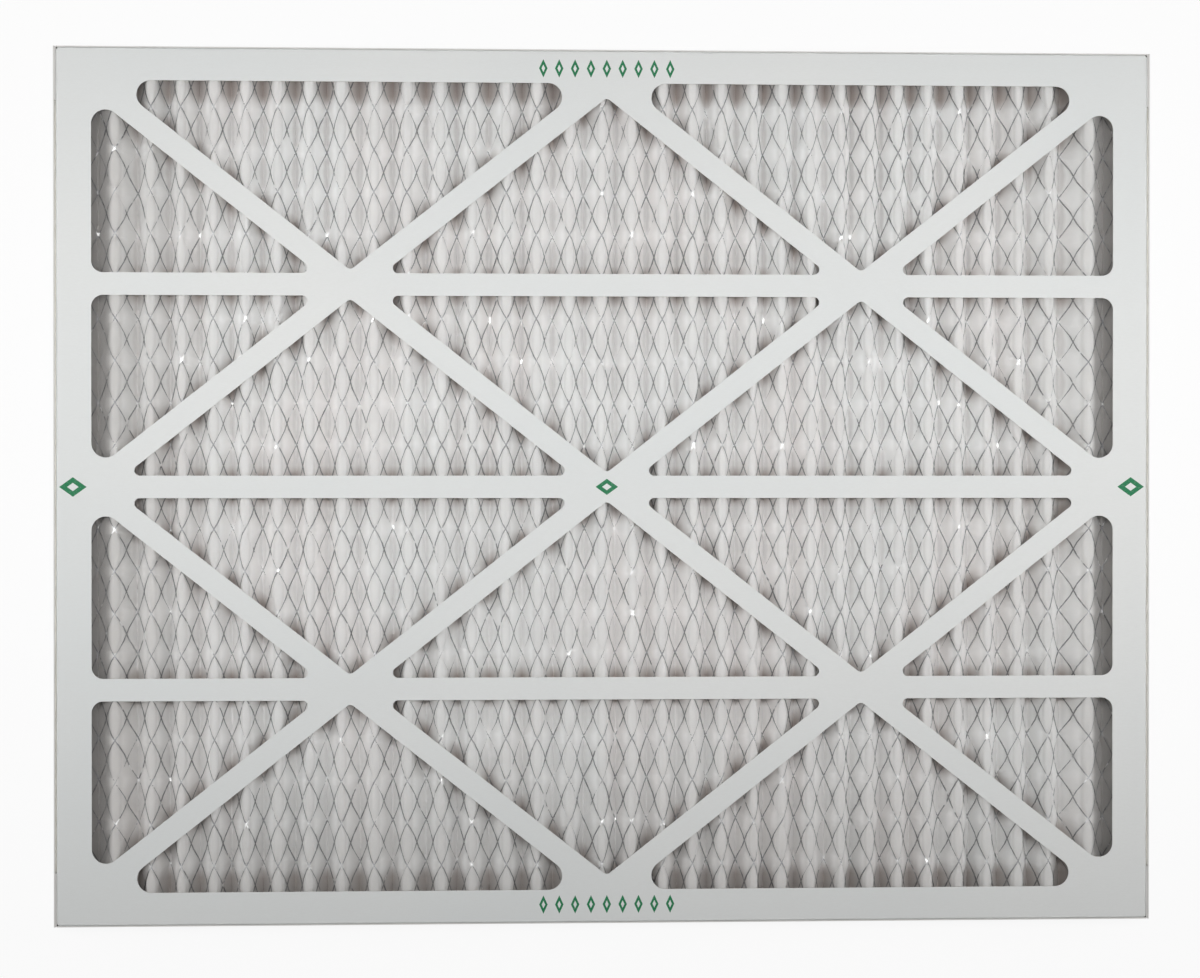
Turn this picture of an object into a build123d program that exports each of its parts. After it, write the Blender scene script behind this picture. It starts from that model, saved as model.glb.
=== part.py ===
from build123d import *
import os
from math import asin, atan2, cos, floor, hypot, tan

# Pleated panel air filter, nominal 25 x 20 x 1 inch, all sizes in millimetres.
#
# Two die-cut paperboard trays nest face to face and make a double-walled frame. Inside it stands one
# sheet of nonwoven media, folded into pleats and bonded to a folded sheet of expanded steel. Four
# strips of glue seal the pleat pack to the frame's inner walls.
#
# X runs along the width and across the pleats, Y along the height and along the pleats, Z through the
# depth. The origin is the centre of the rear face. The steel grid is on the front, air-leaving side.

# Outside of the frame
width = 622.3
height = 495.3
depth = 22.2

# Paperboard trays
board = 0.7  # thickness of the paperboard
fold_radius = 1.0  # outside radius of a folded edge
tab_gap = 0.1  # air left between a glue tab and the side wall it stands behind
seat_gap = 0.3  # air left under the cut edge of the front tray
rim_step = 0.2  # the rear tray's cut rim lies this far below the front face
tab_length = 30.0  # glue tab behind each end of the side walls

# Windows cut in both faces
columns = 4
rows = 4
side_border = 21.15  # left and right of the window field
end_border = 19.05  # above and below the window field
strap = 12.7  # width of every straight and slanted strap
border_corner = 8.0  # corner radius where a slanted strap runs into the border
square_corner = 6.5  # corner radius where a straight strap runs into the border
strap_corner = 3.0  # corner radius between two straps

# Pleat pack
pleats = 35
media = 1.6  # thickness of the nonwoven sheet
pack_gap = 0.25  # air left between the pleat tips and the trays

# Expanded steel bonded to the front of the media
steel = 0.4  # thickness of a strand
strand = 0.8  # width of a strand, seen from the front
diamond_height = 23.8  # one opening of the grid, along the pleats
strand_step = 9  # one strand in nine is drawn; those between repeat it

# Glue
glue = 1.0  # thickness of the strips

# The front tray nests in the rear one: its end walls touch the outer end walls, and its side walls touch
# the glue tabs, which stand inside the outer side walls.
tab_outside = width / 2 - board - tab_gap
front_half_width = tab_outside - board
front_half_height = height / 2 - board
front_wall = depth - board - seat_gap
rear_wall = depth - rim_step

# Space inside the front tray, less the glue on its walls
pack_half_width = front_half_width - board - glue
pack_half_height = front_half_height - board - glue
pack_bottom = board + pack_gap
pack_top = depth - board - pack_gap

# The folds. The media turns round a sharp inner crease, so a leaf leans a little more steeply than the line
# from one crease to the next.
half_pleat = pack_half_width / pleats
media_top = pack_top - steel
low_crease = pack_bottom + media
high_crease = media_top - media
HIGH, LOW = 0, 1  # high folds are the even ones, so the pack ends in a high fold at both sides
crease_line = hypot(half_pleat, high_crease - low_crease)
lean = atan2(high_crease - low_crease, half_pleat) + asin(media / crease_line)


def window(column, row):
    """Outline of the opening at one point of the zigzag that the slanted straps make through a row."""
    field_x = width / 2 - side_border
    field_y = height / 2 - end_border
    cell_x = 2 * field_x / columns
    cell_y = 2 * field_y / rows
    slope = cell_y / cell_x

    point_up = (column + row) % 2 == 0
    up = 1 if point_up else -1
    tip_row = row if point_up else row + 1
    base_row = row + 1 if point_up else row
    base_on_border = base_row in (0, rows)

    x = -field_x + column * cell_x
    tip_y = field_y - tip_row * cell_y - up * strap / 2 * hypot(1, slope)
    base_y = field_y - base_row * cell_y + (0 if base_on_border else up * strap / 2)
    reach = abs(tip_y - base_y) / slope
    base_corner = border_corner if base_on_border else strap_corner

    if 0 < column < columns:
        points = [(x - reach, base_y), (x + reach, base_y), (x, tip_y)]
        radii = [base_corner, base_corner, strap_corner]
    else:
        inward = 1 if column == 0 else -1
        points = [(x, base_y), (x + inward * reach, base_y), (x, tip_y)]
        radii = [square_corner, base_corner, border_corner]
    return make_face(FilletPolyline(*points, radius=radii, close=True).edges())


def folded_channel(half_span, wall, half_length):
    """A strip of board folded up along both edges, in the XZ plane and run along Y."""
    middle = half_span - board / 2
    points = [(-middle, wall), (-middle, board / 2), (middle, board / 2), (middle, wall)]
    line = FilletPolyline(*points, radius=fold_radius - board / 2)
    return extrude(Plane.XZ * trace(line, board), amount=half_length, both=True)


def tray(half_x, half_y, wall, end_wall_reach):
    """A die-cut tray, face down at Z 0: two folded channels that cross, with the windows cut out."""
    sides = folded_channel(half_x, wall, half_y - fold_radius)
    ends = Rot(0, 0, 90) * folded_channel(half_y, wall, end_wall_reach)
    windows = Sketch() + [window(column, row) for row in range(rows) for column in range(columns + 1)]
    return sides + ends - extrude(windows, amount=board)


def rear_tray():
    """The outer tray. Tabs on its end walls turn the corners and stand inside its side walls."""
    tab_x = tab_outside - board / 2
    end_y = height / 2 - board / 2
    points = [(tab_x, end_y - tab_length), (tab_x, end_y), (tab_x - tab_length, end_y)]
    turn = trace(FilletPolyline(*points, radius=fold_radius - board / 2), board)
    side_ends = Pos(width / 2 - board / 2, 0) * Rectangle(board, height)
    right = turn + mirror(turn, about=Plane.XZ) + side_ends
    outline = right + mirror(right, about=Plane.YZ)
    upper_walls = Pos(0, 0, fold_radius) * extrude(outline, amount=rear_wall - fold_radius, dir=(0, 0, 1))
    return tray(width / 2, height / 2, rear_wall, tab_outside - fold_radius) + upper_walls


def front_tray():
    """The inner tray, turned over so that its face closes the front."""
    inner = tray(front_half_width, front_half_height, front_wall, front_half_width - fold_radius)
    return Pos(0, 0, depth) * Rot(180, 0, 0) * inner


def fold_x(fold):
    """Where a fold stands, counted from the left end of the pack."""
    return -pack_half_width + fold * half_pleat


def pleat_face(sharp, crease_z, tip_z):
    """Points along one face of a folded sheet: creased at the sharp folds and flat-tipped at the others."""
    half_tip = half_pleat - abs(tip_z - crease_z) / tan(lean)
    points = []
    for fold in range(2 * pleats + 1):
        if fold % 2 == sharp:
            points.append((fold_x(fold), crease_z))
        else:
            ends = (fold_x(fold) - half_tip, fold_x(fold) + half_tip)
            points += [(min(max(x, -pack_half_width), pack_half_width), tip_z) for x in ends]
    return points


def folded_sheet(one_face, other_face):
    """A folded sheet between two of its faces, run along the pleats."""
    outline = Polyline(*one_face, *reversed(other_face), close=True)
    return extrude(Plane.XZ * make_face(outline.edges()), amount=pack_half_height, both=True)


def pleated_media():
    """One sheet of media. Its folds are creased inside and flat outside, so it keeps its thickness."""
    front_face = pleat_face(LOW, low_crease, media_top)
    rear_face = pleat_face(HIGH, high_crease, pack_bottom)
    return folded_sheet(front_face, rear_face)


def steel_sheet():
    """The sheet that the grid is cut from: it lies on the front face of the media, fold for fold."""
    under_face = pleat_face(LOW, low_crease, media_top)
    upper_face = pleat_face(LOW, low_crease + steel / cos(lean), pack_top)
    return folded_sheet(under_face, upper_face)


def support_grid():
    """Slanted strands cut from the folded sheet; they cross on the folds."""
    spacing = strand_step * half_pleat
    slant = half_pleat / diamond_height
    shift_x = slant * pack_half_height
    half_strand_x = strand / 2 * hypot(1, slant)
    # A strand that only cuts off a corner of the pack may cross no other, so it is left out.
    last = floor((pack_half_width + shift_x) / spacing - 0.5)
    strips = []
    for step in range(-last, last + 1):
        for way in (-1, 1):
            low_x = step * spacing - way * shift_x
            high_x = step * spacing + way * shift_x
            corners = [
                (low_x - half_strand_x, -pack_half_height),
                (low_x + half_strand_x, -pack_half_height),
                (high_x + half_strand_x, pack_half_height),
                (high_x - half_strand_x, pack_half_height),
            ]
            strips.append(make_face(Polyline(*corners, close=True).edges()))
    plan = Sketch() + strips
    return steel_sheet() & extrude(plan, amount=depth)


def glue_strip(long_x, long_y, x, y):
    """A strip of adhesive along one edge of the pack. It stops below the fold of the front tray."""
    tall = depth - fold_radius - pack_bottom
    return Pos(x, y, pack_bottom + tall / 2) * Box(long_x, long_y, tall)


glue_x = pack_half_width + glue / 2
glue_y = pack_half_height + glue / 2
side_glue = (glue, 2 * pack_half_height)
end_glue = (2 * (pack_half_width + glue), glue)
nodes = {
    "rear_frame": rear_tray(),
    "front_frame": front_tray(),
    "filter_media": pleated_media(),
    "support_grid": support_grid(),
    "glue_bead_left": glue_strip(*side_glue, -glue_x, 0),
    "glue_bead_right": glue_strip(*side_glue, glue_x, 0),
    "glue_bead_top": glue_strip(*end_glue, 0, glue_y),
    "glue_bead_bottom": glue_strip(*end_glue, 0, -glue_y),
}

os.makedirs("parts", exist_ok=True)
for name, shape in nodes.items():
    shape.label = name
    export_step(shape, f"parts/{name}.step")
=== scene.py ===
# %% [markdown]
# # A pleated panel air filter and its finishes
#
# The filter comes from CAD as eight pieces that fit each other: two folded paperboard trays, one sheet
# of pleated media, the steel grid bonded to it, and four strips of glue. This notebook keeps those
# sizes and gives the pieces their finish. Two of them are made again in finer detail, because the look
# depends on them: the soft, quilted media and every strand of the grid. A line of glue in the seam
# between the trays is added.

from math import asin, atan2, cos, hypot, pi, sin, tan

import bpy
import numpy as np
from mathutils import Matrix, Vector


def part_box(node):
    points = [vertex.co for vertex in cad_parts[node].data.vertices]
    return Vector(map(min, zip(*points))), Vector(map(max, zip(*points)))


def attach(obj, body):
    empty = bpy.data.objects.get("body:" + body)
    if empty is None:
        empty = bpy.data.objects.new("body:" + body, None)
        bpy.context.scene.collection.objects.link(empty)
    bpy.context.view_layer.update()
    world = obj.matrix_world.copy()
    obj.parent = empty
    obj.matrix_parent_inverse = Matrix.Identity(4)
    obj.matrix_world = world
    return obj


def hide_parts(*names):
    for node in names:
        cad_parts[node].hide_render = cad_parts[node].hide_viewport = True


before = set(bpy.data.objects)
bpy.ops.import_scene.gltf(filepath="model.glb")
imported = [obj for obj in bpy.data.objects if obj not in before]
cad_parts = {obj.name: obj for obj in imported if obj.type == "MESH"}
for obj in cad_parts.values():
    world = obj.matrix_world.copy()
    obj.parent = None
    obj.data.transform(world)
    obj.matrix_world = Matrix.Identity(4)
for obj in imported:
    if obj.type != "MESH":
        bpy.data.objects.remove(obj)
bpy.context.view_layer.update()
print("CAD pieces:", sorted(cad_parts))

# %% [markdown]
# ## The pleats, as numbers
#
# Blender works in metres, and a maker thinks of this filter in millimetres, so every size below is in
# millimetres, and a mesh is turned into metres when it is made. The pack's outside is read from the
# CAD piece. The number of pleats, the thickness of the sheet and the height of one diamond of the grid
# are repeated here, because a box can't say them.

# %% Sizes of the pack
MM = 0.001  # one millimetre in metres
media_low, media_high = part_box("filter_media")
pack_half_width = media_high.x / MM
pack_half_height = media_high.y / MM
pack_bottom = media_low.z / MM
media_top = media_high.z / MM
pleats = 35
media = 1.6  # thickness of the nonwoven sheet
steel = 0.4  # thickness of a strand
diamond_height = 23.8  # one opening of the grid, along the pleats
half_pleat = pack_half_width / pleats
print("one leaf takes", round(half_pleat, 2), "mm of the width")

# %% [markdown]
# ## How one leaf leans
#
# A leaf is the flat part of the sheet between two folds. A folded sheet with a thickness has a tight
# crease on the inside of each fold and a round turn on its outside, and the two creases of a leaf fix
# how steeply it leans. The section could be a bevelled curve, extruded. But the grid has to lie on the
# same surface, so it is a function: how far across the pack a point is gives its height and slope.
# Places count in half pleats from the middle of the pack: whole even numbers are low folds and whole
# odd numbers are high ones.

# %% The section of the pleats
low_crease = pack_bottom + media
high_crease = media_top - media
crease_line = hypot(half_pleat, high_crease - low_crease)
lean = atan2(high_crease - low_crease, half_pleat) + asin(media / crease_line)
soft_crease = 1.6  # radius of the front face inside a low fold, where a real sheet can't fold sharply


def section(along):
    """Height of the front face in mm, and its slope as an angle, for places given in half pleats."""
    nearest_low = 2 * np.round(along / 2)
    from_low = np.abs(along - nearest_low) * half_pleat
    from_high = half_pleat - from_low
    height = low_crease + from_low * tan(lean)
    angle = np.full_like(height, lean)
    crease = from_low < soft_crease * sin(lean)
    bend = np.sqrt(np.maximum(soft_crease**2 - from_low**2, 0))
    height = np.where(crease, low_crease + soft_crease / cos(lean) - bend, height)
    angle = np.where(crease, np.arcsin(np.minimum(from_low / soft_crease, 1)), angle)
    turn = from_high < media * sin(lean)
    arch = np.sqrt(np.maximum(media**2 - from_high**2, 0))
    height = np.where(turn, high_crease + arch, height)
    angle = np.where(turn, np.arcsin(np.clip(from_high / media, 0, 1)), angle)
    return height, angle * np.sign(along - nearest_low)


print("a leaf leans", round(np.degrees(lean), 1), "degrees")

# %% [markdown]
# ## Where the folds really stand
#
# On a hand-fed machine the pleats never come out evenly. Here they are a little wider left of the
# middle than right of it, each fold strays by a fraction of a millimetre and sways along its length,
# and the last few at both ends are pushed up against the glue. Moving vertices by hand would do it for
# one piece. One function that moves points sideways does it for the media and the grid alike, so the
# steel always stays on its sheet.

# %% Uneven pleats
chance = np.random.default_rng(7)
stray = 0.45  # typical distance of a fold from its even place, in mm
pushed_left = [0, -3.5, -6.0, -6.0, -2.9]  # the first folds from the left, in mm
pushed_right = [5.0, 7.5, 6.5, 3.5, 0]  # and the last ones at the right
fold_wander = chance.normal(0, stray, 2 * pleats + 1)
fold_wander[:5] = pushed_left
fold_wander[-5:] = pushed_right
fold_sway = chance.uniform(0, 2 * pi, 2 * pleats + 1)
slip, slow_shift, slow_half_wave = 1.6, 4.0, 250  # how the whole pack lies off centre, in mm
sway_reach, sway_length = 0.35, 60  # how a fold sways along its length, in mm


def place_x(along, up):
    """Sideways place in mm of points given in half pleats, at a height along the pleats in mm."""
    straight = along * half_pleat
    held_at_ends = 1 - np.abs(along / pleats) ** 8
    shift = held_at_ends * (slip + slow_shift * np.cos(pi * straight / slow_half_wave))
    index = np.clip(along + pleats, 0, 2 * pleats)
    numbers = np.arange(2 * pleats + 1)
    wander = np.interp(index, numbers, fold_wander)
    sway = sway_reach * np.sin(up / sway_length + np.interp(index, numbers, fold_sway)) * held_at_ends
    return straight + shift + wander + sway


print("the middle fold is moved by", round(float(place_x(np.array(0.0), 0.0)), 2), "mm")

# %% [markdown]
# ## Counting along the grid
#
# In the flat sheet the strands are straight slanted lines. Seen from above, a folded sheet shows less
# of its steep leaves and more of its folds, so the same strands look bowed: steep halfway down a leaf
# and slanted at the folds, which gives the diamonds over a fold their rounded sides. Unrolling the
# sheet exactly would need the length of every bend. A sine gives the same bow, so places on the sheet
# are counted twice: along the grid, where strands are straight, and across the pack.

# %% From the grid to the pack
bow = 0.34  # 0 would leave the strands straight when seen from above


def across(along):
    """Place across the pack of a place along the grid. Both count half pleats and agree at folds."""
    return along + bow * np.sin(2 * pi * along) / (2 * pi)


print("a quarter of the way along a leaf is at", round(float(across(0.25)), 2), "of its width")

# %% [markdown]
# ## The quilted surface
#
# The media is glued to the steel strands and puffs out through each diamond between them. A cloth
# simulation could blow it up, but for nearly three thousand diamonds it would take minutes. The
# product of two sines does it at once: along the grid it is zero on every strand and largest in the
# middle of a diamond. Raising it to a power below one makes full cushions with narrow seams. Each
# diamond gets its own fullness from a table of random numbers with a fixed seed.

# %% How far the media puffs out
puff_height = 1.5  # of a diamond of fullness 1, in mm
puff_power = 0.6
diamonds = 2 * pleats
fullness = chance.uniform(0.65, 1.15, (2 * diamonds, 2 * diamonds))


def puff(along, rows):
    """How far the front face stands off the strands, in mm, for places in half pleats and diamonds."""
    rising, falling = along - rows, along + rows
    swell = np.abs(np.sin(pi * rising) * np.sin(pi * falling)) ** puff_power
    first = np.floor(rising).astype(int) + diamonds
    second = np.floor(falling).astype(int) + diamonds
    return puff_height * swell * fullness[first, second]


print("fullness runs from", round(fullness.min(), 2), "to", round(fullness.max(), 2))

# %% [markdown]
# ## A grid of points that knows where the strands are
#
# A strand should lie in a seam, with an edge of the mesh right under it. An even grid of points would
# cut every seam into steps. The points along a leaf are therefore spaced the same way as the points
# along a diamond, closer together near the folds, and the spacing reads the same from both ends. Every
# strand then runs from corner to corner of the cells that it crosses, in both directions.

# %% Points across one leaf and along one diamond
search_places = np.linspace(0, 0.5, 500)
turn = np.array([media * sin(lean / 2), media * sin(lean)]) / half_pleat
turn_middle, turn_end = np.interp(turn, across(search_places), search_places)
on_the_leaf = 0.35
steps = [0, turn_middle, turn_end, on_the_leaf, 1 - on_the_leaf, 1 - turn_end, 1 - turn_middle]
columns = np.array([fold + step for fold in range(-pleats, pleats) for step in steps] + [pleats])
print(len(columns), "columns of points")

# %% Rows along the pleats
end_margin = 0.02  # points nearer than this to a cut end are left out, in diamonds or half pleats
top_row = pack_half_height / diamond_height
whole_rows = range(-int(top_row) - 1, int(top_row) + 1)
rows = np.array([row + step for row in whole_rows for step in steps])
rows = np.concatenate([[-top_row], rows[np.abs(rows) < top_row - end_margin], [top_row]])
rear_rows = np.unique(np.append(np.arange(0, len(rows), 3), len(rows) - 1))
print(len(rows), "rows on the front face and", len(rear_rows), "behind")

# %% The front face of the sheet
upward_share = 0.7  # a puff on a leaf goes sideways more than up
puff_ceiling = media_top + 0.5  # in mm


def front_points():
    """Points of the puffed front face, as an array of columns by rows by three, in mm."""
    along, row = np.meshgrid(columns, rows, indexing="ij")
    height, angle = section(across(along))
    out = puff(along, row)
    x = place_x(across(along), row * diamond_height) - out * np.sin(angle)
    x = np.clip(x, -pack_half_width, pack_half_width)
    z = np.minimum(height + out * upward_share, puff_ceiling)
    return np.stack([x, row * diamond_height, z], axis=2)


front = front_points()
print("front face has", front.shape[0], "by", front.shape[1], "points")

# %% The rear face of the sheet
# Each wave has a reach in mm, turns per diamond and a lag per half pleat.
rear_waves = ((0.25, 0.37, 1.3), (0.15, 0.81, 2.1))


def rear_points():
    """Points of the rear face, which is the section upside down. It is smooth apart from slow waves."""
    steps_from_low = [0, turn_middle, turn_end, 0.5, 1 - turn_middle]
    steps_from_high = [0] + [1 - step for step in steps_from_low[:0:-1]]
    places = []
    for fold in range(-pleats, pleats):
        places += [fold + step for step in (steps_from_low if fold % 2 == 0 else steps_from_high)]
    along, row = np.meshgrid(np.array(places + [pleats]), rows[rear_rows], indexing="ij")
    height, _ = section(across(along) + 1)
    wave = sum(reach * np.sin(2 * pi * row * turns + lag * along) for reach, turns, lag in rear_waves)
    held_at_ends = 1 - np.abs(along / pleats) ** 20
    x = place_x(across(along), row * diamond_height) + wave * held_at_ends
    return np.stack([x, row * diamond_height, pack_bottom + media_top - height], axis=2)


rear = rear_points()
print("rear face has", rear.shape[0], "by", rear.shape[1], "points")

# %% [markdown]
# ## From points to a closed sheet
#
# The front face is made of triangles, so that each seam under a strand is a real edge. The rear face
# needs no seams and is made of four-sided cells, with a third of the rows. A Solidify modifier would
# give the sheet its thickness too, but not the tight and round sides of a fold. Instead, strips close
# the two side edges, and one many-sided face per leaf closes each cut end. A closed mesh has an
# inside, which later steps such as shadows, baking and 3-D printing rely on.


# %% Faces of the front and the rear
def front_triangles(number):
    """Two triangles per cell, split along the strand that crosses it."""
    cells_across, cells_up = number.shape[0] - 1, number.shape[1] - 1
    column, row = np.meshgrid(np.arange(cells_across), np.arange(cells_up), indexing="ij")
    here, right = number[:-1, :-1], number[1:, :-1]
    above, corner = number[:-1, 1:], number[1:, 1:]
    middle_along = (columns[column] + columns[column + 1]) / 2
    middle_row = (rows[row] + rows[row + 1]) / 2
    off_rising = np.abs((middle_along - middle_row) - np.round(middle_along - middle_row))
    off_falling = np.abs((middle_along + middle_row) - np.round(middle_along + middle_row))
    rising = (off_rising <= off_falling)[..., None]
    first = np.where(rising, np.stack([here, right, corner], 2), np.stack([here, right, above], 2))
    second = np.where(rising, np.stack([here, corner, above], 2), np.stack([right, corner, above], 2))
    return np.concatenate([first.reshape(-1, 3), second.reshape(-1, 3)]).tolist()


def quads(number):
    """Four-sided cells between neighbouring columns and rows of point numbers."""
    corners = [number[:-1, :-1], number[1:, :-1], number[1:, 1:], number[:-1, 1:]]
    return np.stack(corners, axis=2).reshape(-1, 4).tolist()


front_number = np.arange(front.shape[0] * front.shape[1]).reshape(front.shape[:2])
rear_number = np.arange(rear.shape[0] * rear.shape[1]).reshape(rear.shape[:2]) + front_number.size
media_faces = front_triangles(front_number) + quads(rear_number[::-1])
print(len(media_faces), "faces on the front and the rear")


# %% Faces of the edges
def end_caps(front_number, rear_number, row):
    """One face per leaf between the two faces of the sheet, on the first or the last row."""
    faces = []
    front_step, rear_step = len(steps), (rear_number.shape[0] - 1) // (2 * pleats)
    for leaf in range(2 * pleats):
        over = front_number[leaf * front_step : (leaf + 1) * front_step + 1, row]
        under = rear_number[leaf * rear_step : (leaf + 1) * rear_step + 1, row]
        ring = list(over[::-1]) + list(under)
        faces.append([int(v) for v in (ring if row == 0 else ring[::-1])])
    return faces


def side_strip(front_column, rear_column):
    """Faces between the two faces of the sheet, on its first or last column."""
    faces = []
    stretches = zip(rear_rows[:-1], rear_rows[1:], rear_column[:-1], rear_column[1:])
    for first, last, low, high in stretches:
        faces.append([int(v) for v in [low, high, *front_column[first : last + 1][::-1]]])
    return faces


media_faces += [face[::-1] for face in side_strip(front_number[0], rear_number[0])]
media_faces += side_strip(front_number[-1], rear_number[-1])
media_faces += end_caps(front_number, rear_number, 0) + end_caps(front_number, rear_number, -1)
print(len(media_faces), "faces with the edges")


# %% Make the media
def make_piece(name, points, faces, smooth=True):
    """A new mesh object from points in mm, riding with the filter."""
    mesh = bpy.data.meshes.new(name)
    mesh.from_pydata((np.asarray(points) * MM).tolist(), [], faces)
    mesh.polygons.foreach_set("use_smooth", [smooth] * len(mesh.polygons))
    mesh.update()
    piece = bpy.data.objects.new(name, mesh)
    bpy.context.scene.collection.objects.link(piece)
    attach(piece, "root")
    print(name, "has", len(mesh.vertices), "points and", len(mesh.polygons), "faces")
    return piece


media_points = np.concatenate([front.reshape(-1, 3), rear.reshape(-1, 3)])
pleated_media = make_piece("pleated_media", media_points, media_faces)
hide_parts("filter_media")

# %% [markdown]
# ## Every strand of the expanded steel
#
# The grid starts as flat steel sheet, slit and pulled open into diamonds, then glued to the media and
# folded with it. In the flat its strands are straight, so each one is a line across the same places and
# rows as the media, lifted onto the sheet. Curves with a bevel could be laid there too. Sweeping a
# small four-sided section with arrays is much quicker than making ninety curves each way, and the
# strands bend exactly where the media does.

# %% One strand
strand_width = 0.72  # in mm


def strand_line(crossing, way):
    """Places and rows of one strand inside the pack. way is 1 for rising and -1 for falling strands."""
    first = max(-pleats, crossing - top_row)
    last = min(pleats, crossing + top_row)
    inside = columns[(columns > first + end_margin) & (columns < last - end_margin)]
    along = np.concatenate([[first], inside, [last]])
    return along, way * (along - crossing)


def strand_rings(along, row, sink):
    """Four corners of the strand at each of its places, in mm. sink is how deep it lies in the felt."""
    height, angle = section(across(along))
    x = place_x(across(along), row * diamond_height)
    centre = np.stack([x, row * diamond_height, height], axis=1)
    normal = np.stack([-np.sin(angle), np.zeros_like(angle), np.cos(angle)], axis=1)
    tangent = np.gradient(centre, axis=0)
    tangent /= np.linalg.norm(tangent, axis=1, keepdims=True)
    side = np.cross(tangent, normal)
    side /= np.linalg.norm(side, axis=1, keepdims=True)
    centre = centre + normal * (steel * 0.5 - sink)[:, None]
    half_side, half_normal = side * strand_width / 2, normal * steel / 2
    corners = [half_side + half_normal, -half_side + half_normal]
    corners += [-half_side - half_normal, half_side - half_normal]
    rings = np.stack([centre + corner for corner in corners], axis=1)
    rings[:, :, 0] = np.clip(rings[:, :, 0], -pack_half_width, pack_half_width)
    rings[:, :, 1] = np.clip(rings[:, :, 1], -pack_half_height, pack_half_height)
    return rings


print("the middle strand has", len(strand_line(0, 1)[0]), "places")


# %% Make the grid
def swept(number):
    """Faces of a four-sided bar from the numbers of its rings, with both ends closed."""
    around = np.concatenate([number, number[:, :1]], axis=1)
    return quads(around) + [number[0].tolist(), number[-1][::-1].tolist()]


shallowest, deepest = -0.05, 0.42  # how deep a strand lies in the felt from fold to fold, in mm
grid_points, grid_faces, count = [], [], 0
last_crossing = int(pleats + top_row - 0.5)
for crossing in range(-last_crossing, last_crossing + 1):
    for way in (1, -1):
        along, row = strand_line(crossing, way)
        sink_at_folds = chance.uniform(shallowest, deepest, 2 * pleats + 1)
        sink = np.interp(along, range(-pleats, pleats + 1), sink_at_folds)
        grid_faces += swept(count + np.arange(len(along) * 4).reshape(-1, 4))
        grid_points.append(strand_rings(along, row, sink).reshape(-1, 3))
        count += len(along) * 4
steel_strands = make_piece("steel_strands", np.concatenate(grid_points), grid_faces, smooth=False)
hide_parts("support_grid")

# %% [markdown]
# ## Shader maths that reads like maths
#
# A finish is a small calculation that Blender runs for every point of a surface. Wiring it by hand
# hides the calculation, so a thin class wraps one output socket and turns Python's operators into Math
# nodes. A second class holds a node tree and has a single method that adds any node, which its other
# methods call for the few kinds that come back often. A third is one material.


# %% A socket that can be calculated with
class Signal:
    """One output socket in a node tree. Arithmetic on it adds Math nodes."""

    def __init__(self, nodes, socket):
        self.nodes, self.socket = nodes, socket

    def math(self, operation, *values):
        inputs = dict(enumerate(values))
        return self.nodes.node("ShaderNodeMath", {"operation": operation}, inputs)

    def __add__(self, other):
        return self.math("ADD", self, other)

    def __radd__(self, other):
        return self.math("ADD", other, self)

    def __sub__(self, other):
        return self.math("SUBTRACT", self, other)

    def __rsub__(self, other):
        return self.math("SUBTRACT", other, self)

    def __mul__(self, other):
        return self.math("MULTIPLY", self, other)

    def __rmul__(self, other):
        return self.math("MULTIPLY", other, self)

    def __gt__(self, other):
        return self.math("GREATER_THAN", self, other)

    def __lt__(self, other):
        return self.math("LESS_THAN", self, other)

    def size(self):
        return self.math("ABSOLUTE", self)

    def sign(self):
        return self.math("SIGN", self)

    def sine(self):
        return self.math("SINE", self)

    def fraction(self):
        return self.math("FRACT", self)

    def most(self, other):
        return self.math("MAXIMUM", self, other)

    def least(self, other):
        return self.math("MINIMUM", self, other)


print("signals add, subtract, multiply and compare")


# %% A node tree, and a material
class Nodes:
    """One node tree."""

    def __init__(self, tree):
        self.tree = tree

    def node(self, kind, settings, inputs, output=0):
        """Add a node: its type, its settings, which are set first, and its sockets' values or links."""
        made = self.tree.nodes.new(kind)
        for setting, value in settings.items():
            setattr(made, setting, value)
        for socket, value in inputs.items():
            self.feed(made.inputs[socket], value)
        return Signal(self, made.outputs[output])

    def feed(self, socket, value):
        """Link a signal to a socket, or set the socket to a plain value."""
        if isinstance(value, Signal):
            self.tree.links.new(value.socket, socket)
        else:
            socket.default_value = value

    def blend(self, share, one, other):
        """A colour between two colours. Each is a signal or three numbers."""
        one, other = ((*c, 1) if isinstance(c, tuple) else c for c in (one, other))
        return self.node("ShaderNodeMix", {"data_type": "RGBA"}, {0: share, 6: one, 7: other}, 2)

    def noise(self, scale, detail=2.0, roughness=0.5, stretch=(1, 1, 1)):
        """A soft random pattern fixed to the object, between 0 and 1. scale is per metre."""
        place = self.node("ShaderNodeNewGeometry", {}, {}, "Position")
        pulled = self.node("ShaderNodeVectorMath", {"operation": "MULTIPLY"}, {0: place, 1: stretch})
        inputs = {"Vector": pulled, "Scale": scale, "Detail": detail, "Roughness": roughness}
        return self.node("ShaderNodeTexNoise", {}, inputs)

    def bumps(self, strength, distance, height):
        """A normal tilted by a height. distance is how far the height 1 stands out, in metres."""
        inputs = {"Strength": strength, "Distance": distance, "Height": height}
        return self.node("ShaderNodeBump", {}, inputs)

    def axes(self, output):
        """The three parts of the surface's Position or Normal, as signals."""
        vector = self.node("ShaderNodeNewGeometry", {}, {}, output)
        return [self.node("ShaderNodeSeparateXYZ", {}, {0: vector}, part) for part in range(3)]


class Finish(Nodes):
    """One material, built around the Principled shader."""

    def __init__(self, name, **constants):
        self.material = bpy.data.materials.new(name)
        self.material.use_nodes = True
        super().__init__(self.material.node_tree)
        self.shader = self.tree.nodes["Principled BSDF"]
        self.constants(**constants)

    def constants(self, **values):
        """Set sockets of the Principled shader to plain values."""
        for socket, value in values.items():
            self.shader.inputs[socket.replace("_", " ")].default_value = value

    def use(self, **links):
        """Feed the Principled shader's sockets."""
        for socket, value in links.items():
            self.feed(self.shader.inputs[socket.replace("_", " ")], value)
        return self.material


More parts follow.
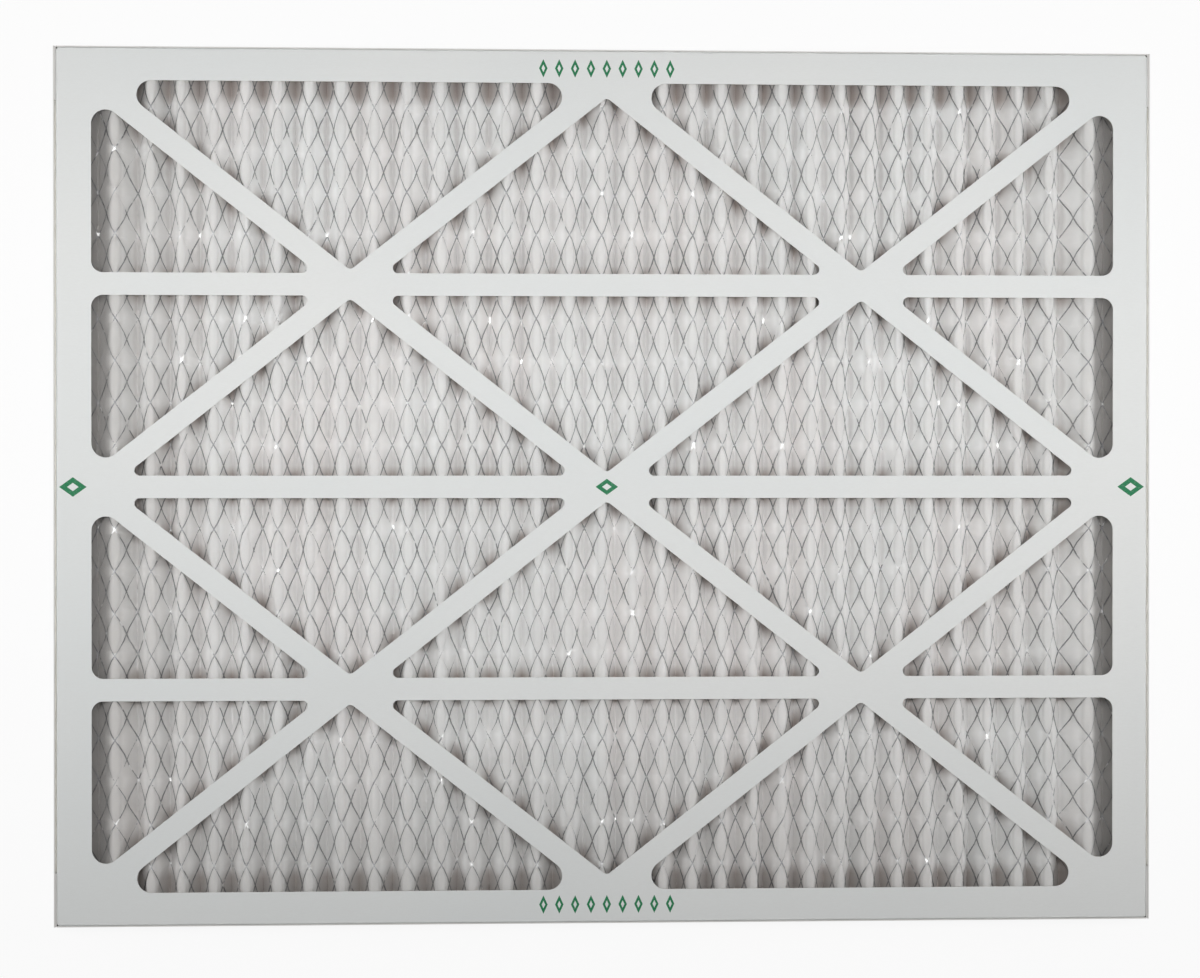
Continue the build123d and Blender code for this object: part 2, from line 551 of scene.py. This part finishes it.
print("a finish starts from the Principled shader")


# %% Masks
def contrast(signal, low, high):
    """Stretch a signal so that low becomes 0 and high becomes 1, and hold it between them."""
    return ((signal - low) * (1 / (high - low))).most(0.0).least(1.0)


print("contrast turns a signal into a mask")

# %% [markdown]
# ## Coated paperboard
#
# The trays are die-cut from beverage board: white and smooth where it is coated with clay, brown kraft
# on the inside and grey where the die cut through both. The white side isn't quite even: it is a touch
# cooler in broad patches and has fine fibres under the coat. Image textures would need unwrapped
# trays. But where a point is and which way its surface faces already tell coat, kraft and cut edge
# apart, so one function serves both trays with a single change of sign.


# %% The coated side and the cut edges
def coated_side(board, half_width, half_height, facing):
    """1 on the white side of a tray, else 0. facing is the sign of the normal of its outer face."""
    x, y, _ = board.axes("Position")
    nx, ny, nz = board.axes("Normal")
    wall_depth = 0.2 * MM
    face = (nz * facing) > 0.4
    side_wall = (x.size() > half_width - wall_depth) * ((nx * x) > 0.5 * half_width)
    end_wall = (y.size() > half_height - wall_depth) * ((ny * y) > 0.5 * half_height)
    return face.most(side_wall).most(end_wall)


def cut_edges(board, node):
    """1 on the sides of the windows and on the rim of a tray."""
    low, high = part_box(node)
    _, _, z = board.axes("Position")
    _, _, nz = board.axes("Normal")
    walls_end = high.z if node == "rear_frame" else low.z
    rim = ((z - walls_end).size() < 0.05 * MM) * (nz.size() > 0.9)
    return rim.most(nz.size() < 0.1)


print("masks for the coat and the cut edges are ready")

# %% [markdown]
# ## Printed marks
#
# The front tray carries a little green print: a row of slim lozenges on each long border, and a larger
# one on each short border and on the middle of the straps. A lozenge is where the distance sideways
# and the distance upwards, each divided by the lozenge's own half size, add up to less than one. As
# shader maths it stays sharp at any distance and needs no picture.

# %% Lozenges
# Half sizes, distances from the middle and the pitch are in mm, and slim_reach is in pitches.
slim_half_size, slim_pitch, slim_from_middle, slim_reach = (2.4, 5.2), 9, 236.9, 4.5
large_half_size, large_from_middle, large_on_border = (6.4, 4.6), 300.3, 1.2
lozenge_hole = 0.42  # size of the unprinted middle, as a share of the lozenge


def printed_marks(board):
    """1 on the green print of the front tray."""
    x, y, _ = board.axes("Position")

    def lozenge(from_x, from_y, half_width, half_height):
        spread = from_x.size() * (1 / (half_width * MM)) + from_y.size() * (1 / (half_height * MM))
        return (spread < 1.0) - (spread < lozenge_hole)

    pitch = slim_pitch * MM
    in_turn = x * (1 / pitch) + 0.5
    from_slim = (in_turn.fraction() - 0.5) * pitch
    in_row = x.size() < slim_reach * pitch
    marks = lozenge(from_slim, y.size() - slim_from_middle * MM, *slim_half_size) * in_row
    half_width, half_height = large_half_size
    for side, size in ((-1, large_on_border), (0, 1), (1, large_on_border)):
        from_large = x - side * large_from_middle * MM
        marks = marks.most(lozenge(from_large, y, half_width * size, half_height * size))
    return marks


print("lozenges every", slim_pitch, "mm on the long borders")

# %% The paperboard finish
coat_colours = (0.735, 0.755, 0.750), (0.765, 0.775, 0.765)
coat_fibre_colour = (0.70, 0.705, 0.69)
kraft_colours = (0.36, 0.25, 0.16), (0.42, 0.31, 0.21)
kraft_fleck_colour = (0.24, 0.16, 0.10)
cut_edge_colour = (0.70, 0.69, 0.67)
ink_colour = (0.004, 0.17, 0.062)


def paperboard(name, node, facing, printed):
    """The finish of one tray."""
    _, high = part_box(node)
    board = Finish(name, Roughness=0.6, Specular_IOR_Level=0.35)
    coated = coated_side(board, high.x, high.y, facing)
    patches = contrast(board.noise(5, 3.0), 0.35, 0.65)
    fibres = contrast(board.noise(420, 4.0, 0.6, (1, 3, 1)), 0.35, 0.7)
    white = board.blend(patches, *coat_colours)
    white = board.blend(fibres * 0.25, white, coat_fibre_colour)
    if printed:
        ink_wear = contrast(board.noise(900, 3.0), 0.30, 0.42)
        white = board.blend(printed_marks(board) * (0.85 + ink_wear * 0.15), white, ink_colour)
    flecks = contrast(board.noise(1100, 2.0, 0.7, (1, 1, 3)), 0.55, 0.75)
    kraft = board.blend(patches, *kraft_colours)
    kraft = board.blend(flecks * 0.6, kraft, kraft_fleck_colour)
    relief = board.noise(260, 4.0, 0.6) * 0.5 + board.noise(9, 2.0) * 6.0
    normal = board.bumps(0.5, 0.12 * MM, relief)
    rough = 0.9 - coated * (0.34 - fibres * 0.08)
    inside = board.blend(cut_edges(board, node), kraft, cut_edge_colour)
    return board.use(Base_Color=board.blend(coated, inside, white), Roughness=rough, Normal=normal)


board_finishes = {
    "front_frame": paperboard("white_board_front", "front_frame", 1, True),
    "rear_frame": paperboard("white_board_rear", "rear_frame", -1, False),
}
for node, finish in board_finishes.items():
    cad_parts[node].data.materials.clear()
    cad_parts[node].data.materials.append(finish)
print("board on", list(board_finishes))

# %% [markdown]
# ## Nonwoven media
#
# The sheet is carded polyester and cotton fibre, off-white and matt, a little uneven in thickness so
# that it shows greyer and warmer clouds. Single fibres cross at every angle. Hair particles could draw
# them, at a great cost in time. A noise stretched in two directions gives the same felted look. A
# little subsurface scattering lets light wander through the sheet, as it does through felt.

# %% Fibres and clouds
felt = Finish("felted_media", Roughness=0.95, Specular_IOR_Level=0.2)
felt.constants(Sheen_Weight=0.5, Sheen_Roughness=0.6)
felt.constants(Subsurface_Weight=0.3, Subsurface_Radius=(1, 0.95, 0.9), Subsurface_Scale=0.008)
clouds = contrast(felt.noise(34, 3.0), 0.35, 0.68)
warm = contrast(felt.noise(15, 2.0, 0.5, (1, 0.4, 1)), 0.45, 0.62)
hairs = felt.noise(700, 3.0, 0.7, (5, 1, 1)).most(felt.noise(700, 3.0, 0.7, (1, 5, 1)))
fibre_mask = contrast(hairs, 0.5, 0.78)
crest_felt = felt.blend(clouds, (0.745, 0.74, 0.73), (0.805, 0.805, 0.79))
crest_felt = felt.blend(warm * 0.5, crest_felt, (0.79, 0.76, 0.745))
crest_felt = felt.blend(fibre_mask * 0.35, crest_felt, (0.90, 0.90, 0.89))
# painted light: the leaf tone is much lighter than the crest tone, for the steep leaves that the lamp
# overhead only grazes
leaf_felt_painted_light = felt.blend(warm, (0.98, 0.98, 0.97), (0.97, 0.945, 0.93))
print("felt has clouds, warm patches and fibres")

# %% [markdown]
# ## Crests, leaves and valleys
#
# Light and shade are painted into the felt by height. The steep leaves, which the lamp overhead only
# grazes, are painted lighter than the crests, which it lights fully, and a painted shade lies as a grey
# lens in each diamond of a valley. One height decides between the three, so no vertex needs painting.
# It counts outward from the middle of the pack on either face of the sheet: the sign of the surface's
# upward tilt turns it over for the rear face. The edge of the grey lens moves up and down with a sine,
# from one crossing of the strands to the next, and the painted shade of the lenses fades towards the
# lower border.

# %% Painted light and shade by height
x, y, z = felt.axes("Position")
_, _, tilt = felt.axes("Normal")
outward = (z - (pack_bottom + media_top) / 2 * MM) * tilt.sign()
# painted light and shade: the crests take the darker crest tone, the leaves the lighter leaf tone
crest_painted_darker = contrast(outward, 6.5 * MM, 8.8 * MM)
lens_rise, lens_bottom, lens_softness = 4.5, 6.8, 0.8 * MM
between_crossings = (y * (pi / (diamond_height * MM))).sine().size()
lens_edge = (between_crossings * lens_rise - lens_bottom) * MM
# painted shade: a grey lens in each diamond of a valley, weaker towards the lower border
valley_shade_lens = 1 - contrast(outward - lens_edge, -lens_softness, lens_softness)
valley_shade_strength = (0.72 + y * 2.2).least(1.0).most(0.0)
leaf_felt_painted_light = felt.blend(valley_shade_lens * valley_shade_strength, leaf_felt_painted_light, (0.73, 0.715, 0.705))
felt_colour = felt.blend(crest_painted_darker, leaf_felt_painted_light, crest_felt)
print("felt goes from valley to crest over", round(media_top - pack_bottom, 1), "mm")

# %% [markdown]
# ## Under the straps and towards the ends
#
# The corners under the straps and borders see little light. The even light of this scene would leave
# them too pale, so the felt is darkened there, more in the valleys than on the crests. The straps form
# a lattice of straight and slanted lines, and the distance to the nearest one is a few lines of maths.
# The felt is also painted with shade towards both short borders and the lower long one, more at the
# left than at the right, and with a darker painted shade on the outermost leaves by the glue at both
# ends, which lie in the shade of the frame.

# %% The straps over the felt
strap_cell_wide, strap_cell_high, half_strap = 145.0 * MM, 114.3 * MM, 6.35 * MM
border_line = 2 * strap_cell_high + half_strap + 4 * MM


def from_strap(x, y):
    """Distance from the middle line of the nearest strap, or from border_line if that is nearer."""
    along_x, along_y = x * (1 / strap_cell_wide), y * (1 / strap_cell_high)
    slanted_apart = 1 / hypot(1 / strap_cell_wide, 1 / strap_cell_high)

    def from_line(place, period, apart):
        turns = place * (1 / period) + 0.5
        return (turns.fraction() - 0.5).size() * (period * apart)

    rising = from_line(along_x - along_y, 2, slanted_apart)
    falling = from_line(along_x + along_y, 2, slanted_apart)
    straight = from_line(along_y, 1, strap_cell_high)
    return rising.least(falling).least(straight).least(border_line - y.size())


beside_strap = 1 - contrast(from_strap(x, y), 6 * MM, 12 * MM)
sunk = 1 - contrast(outward, -4 * MM, 7 * MM)
felt_colour = felt.blend(beside_strap * sunk * 0.85, felt_colour, (0.36, 0.295, 0.265))
print("the straps' lattice repeats every", round(strap_cell_wide / MM), "mm across")

# %% Painted shade towards the edges and on the outermost leaves, and the finish
# painted shade towards both ends and the lower border, more at the left than at the right
towards_ends = contrast(x.size(), 215 * MM, 275 * MM)
towards_lower_border = contrast(y * -1, 140 * MM, 230 * MM)
shade_towards_edges = towards_ends.most(towards_lower_border)
# painted shade, darker still, on the outermost leaves at both ends
end_leaf_shade = contrast(x.size(), 278.5 * MM, 281 * MM)
felt_colour = felt.blend(shade_towards_edges * (0.42 - x * 0.4), felt_colour, (0.51, 0.49, 0.47))
felt_colour = felt.blend(end_leaf_shade, felt_colour, (0.44, 0.425, 0.41))
felt_height = hairs + felt.noise(160, 3.0) * 1.5
felt_normal = felt.bumps(0.6, 0.3 * MM, felt_height)
pleated_media.data.materials.append(felt.use(Base_Color=felt_colour, Normal=felt_normal))
print("felt on", pleated_media.name)

# %% [markdown]
# ## Galvanised strands
#
# The strands are thin zinc-coated steel, dull after pressing, with bright spots where the folding tool
# rubbed them. Against white felt they read as dark lines. Full metal would mirror the white room and
# vanish into the felt, so the zinc is only partly metallic and dark. A patchy roughness lets a few
# places catch the light while the rest stays grey.

# %% The steel finish
zinc = Finish("dull_zinc", Metallic=0.65)
spangle = contrast(zinc.noise(260, 2.0), 0.42, 0.6)
rubbed = contrast(zinc.noise(110, 2.0), 0.62, 0.68)
zinc_colour = zinc.blend(spangle, (0.27, 0.27, 0.275), (0.43, 0.43, 0.435))
zinc_colour = zinc.blend(rubbed, zinc_colour, (0.9, 0.9, 0.9))
zinc_rough = 0.5 - rubbed * 0.2
zinc_normal = zinc.bumps(0.4, 0.1 * MM, zinc.noise(1500))
zinc_finish = zinc.use(Base_Color=zinc_colour, Roughness=zinc_rough, Normal=zinc_normal)
steel_strands.data.materials.append(zinc_finish)
print("zinc on", steel_strands.name)

# %% [markdown]
# ## Dried glue
#
# The edges of the pack stand in strips of white glue, which shows only from an angle through the outer
# windows. It dries cream, slightly glossy and lumpy. The lumps could be displaced geometry. So little
# of it shows that bumps, with a roughness that follows them, are enough.

# %% The glue finish
glue = Finish("dried_glue", Specular_IOR_Level=0.45)
lumps = glue.noise(140, 3.0)
glue_colour = glue.blend(contrast(lumps, 0.35, 0.7), (0.70, 0.68, 0.61), (0.79, 0.78, 0.72))
glue_normal = glue.bumps(0.8, 0.4 * MM, lumps)
glue_finish = glue.use(Base_Color=glue_colour, Roughness=0.42 + lumps * 0.2, Normal=glue_normal)
for edge in ("left", "right", "top", "bottom"):
    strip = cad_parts[f"glue_bead_{edge}"]
    strip.data.materials.clear()
    strip.data.materials.append(glue_finish)
print("glue on four strips")

# %% [markdown]
# ## The glued seam
#
# The two trays nest, and a thin line of glue closes the seam between their side walls. It is squeezed
# up to just under the front face, and its top edge is never quite level. A Boolean cut of a lumpy bar
# would do. A strip per side, swept from rings whose height waves a little, is simpler and stays clear
# of both walls by a hair.

# %% Lay the seam glue
_, inner_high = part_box("front_frame")
_, outer_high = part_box("rear_frame")
board_thickness, seam_clearance = 0.7, 0.04  # all sizes here are in mm
seam_half_length, seam_top, seam_tall = 216.9, 21.72, 1
seam_rings = 73
seam_points, seam_faces = [], []
for side in (-1, 1):
    near = inner_high.x / MM + seam_clearance
    far = outer_high.x / MM - board_thickness - seam_clearance
    ring_numbers = np.arange(seam_rings * 4).reshape(seam_rings, 4) + len(seam_points)
    for y_place in np.linspace(-seam_half_length, seam_half_length, seam_rings):
        top = seam_top + 0.12 * sin(y_place / 7) + 0.08 * sin(y_place / 2.9)
        for x_place, down in ((near, 0), (far, 0), (far, seam_tall), (near, seam_tall)):
            seam_points.append((side * x_place, y_place, top - down))
    strip_faces = swept(ring_numbers)
    seam_faces += strip_faces if side < 0 else [face[::-1] for face in strip_faces]
seam_glue = make_piece("seam_glue", seam_points, seam_faces)
seam_glue.data.materials.append(glue_finish)

# %% [markdown]
# ## The table
#
# The filter lies on a plain pale table. For the camera the table is nearly pure white, as in a
# catalogue, while the filter still gets ordinary light. Brighter lamps would whiten the table but
# bleach the filter too. Instead, a Light Path node tells a ray that comes straight from the camera, or
# from a shiny surface, from one that carries light. Part of the table's own shading is kept, so that a
# faint shadow still grounds the filter.


# %% Lay the table
def seen_directly(nodes):
    """1 for rays from the camera, from gloss and through glass, 0 for rays that light the scene."""
    parts = ("Is Camera Ray", "Is Glossy Ray", "Is Transmission Ray")
    rays = [nodes.node("ShaderNodeLightPath", {}, {}, part) for part in parts]
    return rays[0].most(rays[1]).most(rays[2])


bpy.ops.mesh.primitive_plane_add(size=12)
table = bpy.context.object
table.name = "table"
table_top = Finish("pale_table", Base_Color=(0.85, 0.85, 0.85, 1), Roughness=0.9)
shaded = Signal(table_top, table_top.shader.outputs[0])
glow = table_top.node("ShaderNodeEmission", {}, {"Color": (1, 1, 1, 1), "Strength": 1.0})
share = seen_directly(table_top) * 0.9
mixed = table_top.node("ShaderNodeMixShader", {}, {0: share, 1: shaded, 2: glow})
table_top.feed(table_top.tree.nodes["Material Output"].inputs["Surface"], mixed)
table.data.materials.append(table_top.material)
print("table under the filter at height 0")

# %% [markdown]
# ## Soft light from above and from the ends
#
# A long narrow soft box hangs about a metre over the upper half of the filter, across its width, and
# spreads its light over a limited angle, so the light is even from left to right and fades towards the
# lower border. Two more stand beyond the ends. They look into the pleats from the side and lift the
# steep leaves, which a lamp overhead only grazes. A single sun would be simpler, but its parallel
# light leaves one side of every fold dark.


# %% The lamps
def soft_lamp(name, place, size, power, aim):
    """A rectangular area lamp that the camera doesn't see. Sizes are in metres, power is in watts."""
    data = bpy.data.lights.new(name, "AREA")
    data.shape = "RECTANGLE"
    data.size, data.size_y = size
    data.energy = power
    lamp = bpy.data.objects.new(name, data)
    lamp.location = place
    back = lamp.location - Vector(aim)
    lamp.rotation_euler = back.to_track_quat("Z", "Y").to_euler()
    lamp.visible_camera = False
    bpy.context.scene.collection.objects.link(lamp)
    return lamp


overhead = soft_lamp(
    "overhead_box", place=(0.06, 0.09, 1.1), size=(1.6, 0.12), power=1.52, aim=(0.06, 0.09, 0)
)
overhead.data.spread = np.radians(60)
for side in (-1, 1):
    end_place = (side * 1.3, 0.25, 0.7)
    soft_lamp(f"end_box_{side + 1}", place=end_place, size=(0.7, 0.7), power=3.2, aim=(0, 0.12, 0))
print("overhead box of", round(overhead.data.energy, 2), "watts and two end boxes")

# %% [markdown]
# ## The room
#
# The room is a plain white sky. It adds an even fill, so the valleys stay open. The camera and shiny
# surfaces see it at full strength, which is white, while it lights the filter with a third of that.

# %% The room light
room_fill = 0.33
world = bpy.data.worlds.new("room")
bpy.context.scene.world = world
world.use_nodes = True
room = Nodes(world.node_tree)
background = room.tree.nodes["Background"]
room.feed(background.inputs["Strength"], room_fill + seen_directly(room) * (1 - room_fill))
room.feed(background.inputs["Color"], (1, 1, 1, 1))
print("the room lights the filter at", room_fill, "of white")

# %% [markdown]
# ## The camera
#
# The filter is seen straight from above, from a metre and a half, with a long lens. An orthographic
# camera would make it perfectly square. This one stands a little to the left of the middle and looks
# across to it, which makes the left edge slightly taller than the right one, as in a hand-held view.

# %% Place the camera
camera_data = bpy.data.cameras.new("camera")
camera_data.lens = 78.27
camera_data.sensor_width = 36
camera = bpy.data.objects.new("camera", camera_data)
camera.location = (-0.07435, 0.00784, 1.5)
camera.rotation_euler = tuple(np.radians([-0.351, -2.73, 0.001]))
bpy.context.scene.collection.objects.link(camera)
bpy.context.scene.camera = camera
bpy.context.scene.view_settings.view_transform = "Standard"
print("camera at", tuple(round(v, 3) for v in camera.location))
